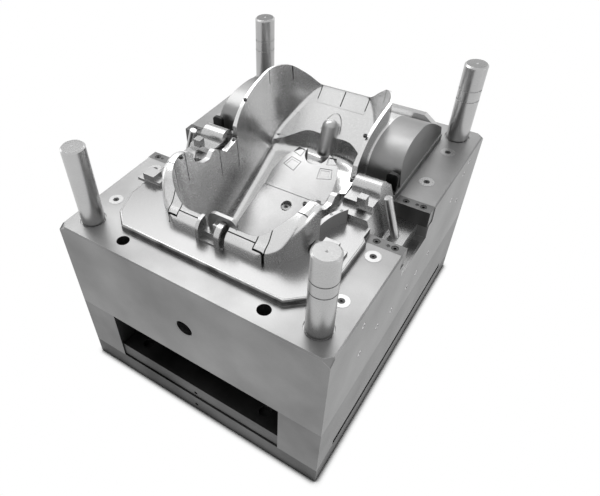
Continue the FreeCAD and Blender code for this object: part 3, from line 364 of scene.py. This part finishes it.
class Nodes:
    """Short hand for building one material's node tree."""

    def __init__(self, name):
        self.material = bpy.data.materials.new(name)
        self.material.use_nodes = True
        self.tree = self.material.node_tree
        self.shader = self.tree.nodes["Principled BSDF"]
        self.place = self.add("ShaderNodeTexCoord").outputs["Object"]

    def add(self, kind):
        return self.tree.nodes.new(kind)

    def link(self, a, b):
        self.tree.links.new(a, b)

    def noise(self, scale, detail=4.0, rough=0.5, stretch=(1, 1, 1)):
        """Noise from 0 to 1 over the object, drawn out along its axes by stretch."""
        mapping = self.add("ShaderNodeMapping")
        mapping.inputs["Scale"].default_value = stretch
        self.link(self.place, mapping.inputs["Vector"])
        noise = self.add("ShaderNodeTexNoise")
        noise.inputs["Scale"].default_value = scale
        noise.inputs["Detail"].default_value = detail
        noise.inputs["Roughness"].default_value = rough
        self.link(mapping.outputs[0], noise.inputs["Vector"])
        return noise.outputs["Fac"]

    def ramp(self, value, low_shade, high_shade, places=GRAIN_RANGE):
        """Grey that goes from the low to the high shade as the value crosses the two places."""
        ramp = self.add("ShaderNodeValToRGB")
        for stop, at, shade in zip(ramp.color_ramp.elements, places, (low_shade, high_shade)):
            stop.position = at
            stop.color = grey(shade)
        self.link(value, ramp.inputs["Fac"])
        return ramp.outputs["Color"]

    def mix(self, factor, a, b, mode="MIX"):
        """Colour mix; the factor and both colours are numbers or other nodes' outputs."""
        mix = self.add("ShaderNodeMix")
        mix.data_type = "RGBA"
        mix.blend_type = mode
        for value, socket in ((factor, mix.inputs[0]), (a, mix.inputs[6]), (b, mix.inputs[7])):
            if isinstance(value, (int, float)):
                socket.default_value = value if socket.type == "VALUE" else grey(value)
            else:
                self.link(value, socket)
        return mix.outputs[2]

    def edge_mask(self, radius):
        """1 where the surface bends sharply and 0 on flats, and the rounded normal."""
        bevel = self.add("ShaderNodeBevel")
        bevel.samples = EDGE_SAMPLES
        bevel.inputs["Radius"].default_value = radius
        true = self.add("ShaderNodeNewGeometry")
        dot = self.add("ShaderNodeVectorMath")
        dot.operation = "DOT_PRODUCT"
        self.link(bevel.outputs[0], dot.inputs[0])
        self.link(true.outputs["Normal"], dot.inputs[1])
        return self.ramp(dot.outputs["Value"], 1.0, 0.0, EDGE_RANGE), bevel.outputs[0]

    def math(self, operation, *values):
        return math_node(self.tree, operation, *values)

    def mirrored_place(self):
        """X without its sign, Y and Z of the point being shaded."""
        split = self.add("ShaderNodeSeparateXYZ")
        self.link(self.place, split.inputs[0])
        return self.math("ABSOLUTE", split.outputs["X"]), split.outputs["Y"], split.outputs["Z"]

    def level_mask(self):
        """1 on faces that look straight up."""
        facing = self.add("ShaderNodeSeparateXYZ")
        self.link(self.add("ShaderNodeNewGeometry").outputs["Normal"], facing.inputs[0])
        return self.math("GREATER_THAN", facing.outputs["Z"], FACES_UP)

    def plateau_masks(self):
        """1 on the plateau's level top, where shade is painted, and 1 on the slope down to the parting
        face.
        """
        x, y, z = self.mirrored_place()
        at_plateau = self.math("LESS_THAN", self.offset(z, PLATEAU), PLATEAU_SKIN)
        painted_plateau_top = self.math("MULTIPLY", self.level_mask(), at_plateau)
        beside = self.math("SUBTRACT", x, PLATEAU_INNER_X)
        before = self.math("SUBTRACT", PLATEAU_INNER_Y, y)
        outside = self.math("GREATER_THAN", self.math("MAXIMUM", beside, before), 0.0)
        low = self.math("LESS_THAN", z, PLATEAU - PLATEAU_SKIN)
        high = self.math("GREATER_THAN", z, PARTING + SLOPE_FOOT)
        return painted_plateau_top, self.math("MULTIPLY", outside, self.math("MULTIPLY", low, high))

    def shelf_mask(self):
        """1 on the shelf outside the rear wings, where shade is painted and the surface is rougher."""
        x, y, _ = self.mirrored_place()
        outside = self.math("GREATER_THAN", x, SHELF_INNER_X)
        return self.math("MULTIPLY", outside, self.math("GREATER_THAN", y, SHELF_FRONT_Y))

    def painted_slit_mask(self, slits, width):
        """1 on the short slits round the rim ejectors, mirrored left and right, where their shade is
        painted as dark lines.
        """
        x, y, z = self.mirrored_place()
        total = 0.0
        for axis, at, middle, reach, bottom in slits:
            across, along = (x, y) if axis == "x" else (y, x)
            on_slit = self.math("LESS_THAN", self.offset(across, at), width)
            between = self.math("LESS_THAN", self.offset(along, middle), reach)
            above = self.math("GREATER_THAN", z, bottom)
            stroke = self.math("MULTIPLY", self.math("MULTIPLY", on_slit, between), above)
            total = self.math("MAXIMUM", total, stroke)
        return total

    def offset(self, value, centre):
        """Distance of a value from a centre."""
        return self.math("ABSOLUTE", self.math("SUBTRACT", value, centre))

    def bump(self, height, strength, normal=None):
        """Grain in the surface, on top of another normal where one is given."""
        bump = self.add("ShaderNodeBump")
        bump.inputs["Strength"].default_value = strength
        bump.inputs["Distance"].default_value = GRAIN_HEIGHT
        self.link(height, bump.inputs["Height"])
        if normal is not None:
            self.link(normal, bump.inputs["Normal"])
        return bump.outputs[0]


def rim_slits():
    """Axis, place, middle and reach along the other axis, and lowest point of each slit."""
    slits = []
    for name, axis, length in RIM_SLITS:
        number = "xy".index(axis)
        other = 1 - number
        low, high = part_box(name + "_ejector_right")
        points = [v.co for v in frame["nodes"][name + "_ejector_right"].data.vertices]
        for at in (low[number], high[number]):
            top = max(p.z for p in points if abs(p[number] - at) < SLIT_SEARCH)
            middle = (low[other] + high[other]) * 0.5
            reach = (high[other] - low[other]) * 0.5 + SLIT_WIDTH
            slits.append((axis, at, middle, reach, top - length))
    return slits + [LIP_SEAM]


def grey(value):
    """Neutral colour of one shade."""
    return (value, value, value, 1.0)


def insert_shades(n, color, broad, shelf):
    """The seat form's marks: painted shade on the plateau top, the shelf and the ejector slits, and the
    darker mottled slope.
    """
    painted_plateau_top, slope = n.plateau_masks()
    # Painted shade: the plateau's level top is coloured darker so that the ceiling lamp does not wash it
    # out.
    color = n.mix(painted_plateau_top, color, PLATEAU_PAINTED_SHADE)
    # Painted shade: the shelf outside the rear wings is coloured darker to damp its bright reflection.
    color = n.mix(shelf, color, n.ramp(broad, SHELF_PAINTED_SHADE - SHELF_SPREAD, SHELF_PAINTED_SHADE + SHELF_SPREAD))
    color = n.mix(slope, color, n.ramp(n.noise(SLOPE_NOISE), *SLOPE_SHADES, SLOPE_RANGE))
    # Painted shade: the slits and the lip seam are coloured near black, where shade falls in the narrow
    # gaps.
    return n.mix(n.painted_slit_mask(rim_slits(), SLIT_WIDTH), color, SLIT_PAINTED_SHADE)


def steel(name, shade, rough, spread=0.06, grain=(1, 1, 1), grain_scale=350.0, grain_depth=0.16,
          blotch=0.05, edge=0.0008, edge_wear_and_highlight=0.12, insert=False, level=None):
    """Bare tool steel: fine machining grain, soft blotches, brighter edges that are partly wear and
    partly painted highlight, and painted shade on the faces that look straight up.

    An edge of 0 has no brightened edges, insert adds the seat form's painted shade and darker slope, and
    level is the painted shade of the faces that look straight up, darker so that the ceiling lamp does
    not wash them out.
    """
    n = Nodes(name)
    fine = n.noise(grain_scale, *GRAIN_DETAIL, grain)
    broad = n.noise(BLOTCH_SCALE)
    patches = n.ramp(broad, max(shade - blotch, 0.0), min(shade + blotch, 1.0))
    color = n.mix(1.0, patches, n.ramp(fine, *GRAIN_SHADES), "MULTIPLY")
    rough_map = n.ramp(fine, rough - spread, rough + spread, ROUGH_RANGE)
    rounded = None
    if edge > 0:
        # Partly wear and partly painted highlight: sharp edges get a lighter colour.
        worn_and_highlit_edge, rounded = n.edge_mask(edge)
        color = n.mix(worn_and_highlit_edge, color, min(shade + edge_wear_and_highlight, 1.0))
    if insert:
        shelf = n.shelf_mask()
        color = insert_shades(n, color, broad, shelf)
        rough_map = n.mix(shelf, rough_map, rough + SHELF_EXTRA_ROUGH)
    # Painted shade: faces that look straight up are coloured darker so that the ceiling lamp does not
    # wash them out.
    if level is not None:
        painted_top_shade = n.ramp(broad, level * (1 - PAINTED_TOP_SPREAD), level * (1 + PAINTED_TOP_SPREAD))
        color = n.mix(n.level_mask(), color, painted_top_shade)
    n.link(color, n.shader.inputs["Base Color"])
    n.link(rough_map, n.shader.inputs["Roughness"])
    n.link(n.bump(fine, grain_depth, rounded), n.shader.inputs["Normal"])
    n.shader.inputs["Metallic"].default_value = 1.0
    return n.material


def make_steels():
    """All the steels of the mould: shade, roughness and what else sets each apart."""
    return {
        "block": steel("ground block steel", 0.24, 0.38),
        # Painted shade: the lower plates are coloured darker, the clamp plate darkest, because less
        # light reaches them.
        "plate": steel("milled plate steel", 0.19, 0.42),
        "clamp": steel("clamp plate steel", 0.07, 0.42),
        "polish": steel("polished mould steel", 0.72, 0.26, spread=0.03, grain_scale=500.0,
                        grain_depth=0.04, blotch=0.04, edge=0.0, insert=True),
        "pan": steel("polished pan steel", 0.30, 0.26, spread=0.03, grain_scale=500.0,
                     grain_depth=0.04),
        "plug": steel("bright plug steel", 0.80, 0.22, edge=0.0),
        # The level shades below are painted shade on the faces that look straight up.
        "stone": steel("stoned mould steel", 0.44, 0.32, level=0.26),
        "ground": steel("ground hard steel", 0.48, 0.30, grain=(1, 1, 8), level=0.19),
        "slide": steel("slider steel", 0.55, 0.28, level=0.24),
        # Painted shade: the dark frames round the pan fields stand in for the shaded outline of each
        # field.
        "line": steel("shade_painted pan steel", 0.10, 0.34, edge=0.0),
        "gib": steel("gib steel", 0.11, 0.34, blotch=0.03),
        "blued": steel("blackened steel", 0.035, 0.45, blotch=0.01, edge_wear_and_highlight=0.05),
        "screw": steel("black oxide screw steel", 0.05, 0.38, blotch=0.02),
        "pad": steel("bright pad steel", 0.33, 0.30),
    }


# Steel of each node, by the first match with the start of its name
FINISH_BY_START = (
    ("guide_pillar", "ground"),
    ("core_plate", "block"),
    ("spacer_block", "plate"),
    ("clamp_plate", "clamp"),
    ("ejector_retainer", "clamp"),
    ("ejector_base", "clamp"),
    ("ejector_", "ground"),
    ("stop_plate", "blued"),
    ("gib_screws", "screw"),
    ("pad_screws", "screw"),
    ("pan_screw", "slide"),
    ("parting_pads", "pad"),
    ("clamp_screws", "screw"),
    ("insert_screws", "screw"),
    ("gib_dowels", "screw"),
    ("gib", "gib"),
    ("wear_plate", "ground"),
    ("angle_pin", "ground"),
    ("slider", "slide"),
    ("cavity_insert", "polish"),
    ("seat_pan", "pan"),
    ("buckle_peg", "stone"),
    ("corner_ejector", "polish"),
    ("side_ejector", "polish"),
    ("waist_ejector", "polish"),
    ("wing_ejector", "polish"),
    ("saddle_ejector", "polish"),
    ("support", "ground"),
    ("stop_discs", "ground"),
)


def finish_nodes():
    """Give every solid of the frame its steel; the rest are stoned."""
    for name, node in frame["nodes"].items():
        finish = next((key for start, key in FINISH_BY_START if name.startswith(start)), "stone")
        node.data.materials.clear()
        node.data.materials.append(steels[finish])


def select_faces(piece, wanted):
    """In edit mode, select the faces for which wanted(face) is true."""
    bpy.ops.mesh.select_mode(type="FACE")
    bpy.ops.mesh.select_all(action="DESELECT")
    work = bmesh.from_edit_mesh(piece.data)
    for face in work.faces:
        if wanted(face):
            face.select_set(True)
    work.select_flush_mode()
    bmesh.update_edit_mesh(piece.data)


def select_edges(piece, wanted):
    """In edit mode, select the edges for which wanted(a, b), its two ends, is true."""
    bpy.ops.mesh.select_mode(type="EDGE")
    bpy.ops.mesh.select_all(action="DESELECT")
    work = bmesh.from_edit_mesh(piece.data)
    for edge in work.edges:
        if wanted(edge.verts[0].co, edge.verts[1].co):
            edge.select_set(True)
    work.select_flush_mode()
    bmesh.update_edit_mesh(piece.data)


def inset_and_move(thickness, move):
    """Leave a rim round the selected faces and move what is inside it."""
    bpy.ops.mesh.inset(thickness=thickness)
    bpy.ops.mesh.extrude_region_move(TRANSFORM_OT_translate={"value": move})


def finish_piece(piece, name, steel_name, body):
    """Leave edit mode, put the place into the mesh, give it its steel and its body."""
    bpy.ops.object.mode_set(mode="OBJECT")
    bpy.ops.object.transform_apply(location=True, rotation=True, scale=True)
    bpy.ops.object.shade_smooth_by_angle(angle=SMOOTH_BELOW)
    piece.name = name
    piece.data.materials.clear()
    piece.data.materials.append(steels[steel_name])
    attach(piece, body)
    return piece


def start_block(low, high):
    """Rectangular block between two corners, in edit mode with nothing selected."""
    clear_selection()
    low, high = Vector(low), Vector(high)
    bpy.ops.mesh.primitive_cube_add(size=1.0, location=(low + high) * 0.5)
    piece = bpy.context.object
    piece.scale = high - low
    bpy.ops.object.transform_apply(location=True, rotation=True, scale=True)
    bpy.ops.object.mode_set(mode="EDIT")
    bpy.ops.mesh.select_all(action="DESELECT")
    return piece


def copy_piece(master, name, move, body, mirror=False):
    """A copy with its own mesh, moved, and mirrored left to right where asked."""
    piece = master.copy()
    piece.data = master.data.copy()
    piece.name = name
    bpy.context.scene.collection.objects.link(piece)
    place = Matrix.Translation(Vector(move))
    if mirror:
        place = place @ Matrix.Diagonal((-1, 1, 1, 1))
    piece.data.transform(place)
    if mirror:
        piece.data.flip_normals()
    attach(piece, body)
    return piece


def socket_screw(name, radius, steel_name, body):
    """Flush screw at the origin, its head up, with a chamfer and a socket."""
    clear_selection()
    depth = radius * SCREW_DEPTH
    bpy.ops.mesh.primitive_cylinder_add(
        vertices=SCREW_SIDES, radius=radius, depth=depth, location=(0, 0, -depth * SCREW_SUNK))
    piece = bpy.context.object
    bpy.ops.object.mode_set(mode="EDIT")
    select_faces(piece, lambda face: face.normal.z > FACING)
    bpy.ops.mesh.bevel(offset=radius * SCREW_CHAMFER, segments=2, affect="EDGES")
    select_faces(piece, lambda face: face.normal.z > FACING and face.calc_area() > radius * radius)
    inset_and_move(radius * SOCKET_INSET, (0, 0, -radius * SOCKET_DEPTH))
    return finish_piece(piece, name, steel_name, body)


def rim_screws():
    """Small dark screws in the side blocks, waist strips, arc inserts and wing rims."""
    for number, (x, y, z, radius, body) in enumerate(RIM_SCREWS):
        master = socket_screw("rim_screw_%d_right" % number, radius, "screw", body)
        copy_piece(master, "rim_screw_%d_left" % number, (-x, y, z), body)
        master.data.transform(Matrix.Translation((x, y, z)))


def port_plugs():
    """Bright screwed plugs in the mouths of the cooling ports, both side faces."""
    body = "mould_half"
    master = socket_screw("port_plug_first", PORT_RADIUS * PLUG_FIT, "plug", body)
    master.data.transform(Matrix.Rotation(radians(90), 4, "Y"))
    for number, (y, drop) in enumerate(PORTS):
        x = SIDE - PLUG_SUNK
        y += FRONT
        z = PARTING - drop
        copy_piece(master, "port_plug_%02d_right" % number, (x, y, z), body)
        copy_piece(master, "port_plug_%02d_left" % number, (-x, y, z), body, mirror=True)
    bpy.data.objects.remove(master)


def notch_cheeks():
    """Rounded ribs that edge the collar on both sides of its notch."""
    for name, (x0, x1) in (("notch_cheek_left", LEFT_CHEEK), ("notch_cheek_right", RIGHT_CHEEK)):
        piece = start_block((x0, CHEEK_FRONT, PLATEAU), (x1, WELL_FRONT, CHEEK_TOP))
        select_edges(piece, lambda a, b: on_cheek_edge(a) and on_cheek_edge(b))
        bpy.ops.mesh.bevel(offset=CHEEK_ROUNDING, segments=ROUND_SEGMENTS, affect="EDGES")
        finish_piece(piece, name, "slide", "mould_half")


def on_cheek_edge(point):
    """True on the upper front edge of a rib beside the notch."""
    return abs(point.y - CHEEK_FRONT) < TINY and abs(point.z - CHEEK_TOP) < TINY


def notch_arch():
    """Arched plate that closes the notch toward the well."""
    front = WELL_FRONT + ARCH_SET_BACK
    piece = start_block((ARCH[0], front, PLATEAU), (ARCH[1], front + ARCH_THICKNESS, ARCH_TOP))
    select_edges(piece, lambda a, b: min(a.z, b.z) > ARCH_TOP - TINY and abs(a.x - b.x) < TINY)
    bpy.ops.mesh.bevel(offset=ARCH_ROUNDING, segments=ROUND_SEGMENTS, affect="EDGES")
    select_faces(piece, lambda face: face.normal.y < -FACING)
    inset_and_move(ARCH_RIM, (0, ARCH_RECESS, 0))
    finish_piece(piece, "notch_arch", "stone", "mould_half")


def notch_cube():
    """Small chamfered cube that stands on the notch block."""
    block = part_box("notch_block")[1]
    low = (CUBE[0], block.y - CUBE_REACH, block.z)
    high = (CUBE[1], block.y - CUBE_GAP, block.z + CUBE_RISE)
    piece = start_block(low, high)
    select_faces(piece, lambda face: face.normal.z > FACING)
    bpy.ops.mesh.bevel(offset=CUBE_CHAMFER, segments=2, affect="EDGES")
    finish_piece(piece, "notch_cube", "slide", "mould_half")


def pan_surface(x, y, rise):
    """Point above the sloping pan, measured along Z."""
    return Vector((x, y, PAN_REAR[1] + (y - PAN_REAR[0]) * tan(PAN_SLOPE) + rise))


def pan_fields():
    """Thin four-cornered frames round the shallow fields of the rear pan piece, dark as painted shade
    that outlines each field.
    """
    for number, (x, y, size) in enumerate(PAN_FIELDS):
        side = 1 if x > 0 else -1
        piece = start_block((-0.5, -0.5, 0), (0.5, 0.5, 1.0))
        work = bmesh.from_edit_mesh(piece.data)
        for corner in work.verts:
            across, along = FIELD_CORNERS[corner.co.x > 0, corner.co.y > 0]
            rise = FIELD_HEIGHT if corner.co.z > 0.5 else -FIELD_ROOT
            corner.co = pan_surface(x + side * across * size, y + along * size, rise)
        bmesh.update_edit_mesh(piece.data)
        if side < 0:
            bpy.ops.mesh.select_all(action="SELECT")
            bpy.ops.mesh.flip_normals()
        select_faces(piece, lambda face: face.normal.z > FACING)
        inset_and_move(FIELD_LINE, (0, 0, -FIELD_ROOT))
        finish_piece(piece, "pan_field_%d" % number, "line", "mould_half")


bpy.context.scene.view_settings.view_transform = "Standard"
make_camera()
make_studio()
steels = make_steels()
finish_nodes()
rim_screws()
port_plugs()
notch_cheeks()
notch_arch()
notch_cube()
pan_fields()
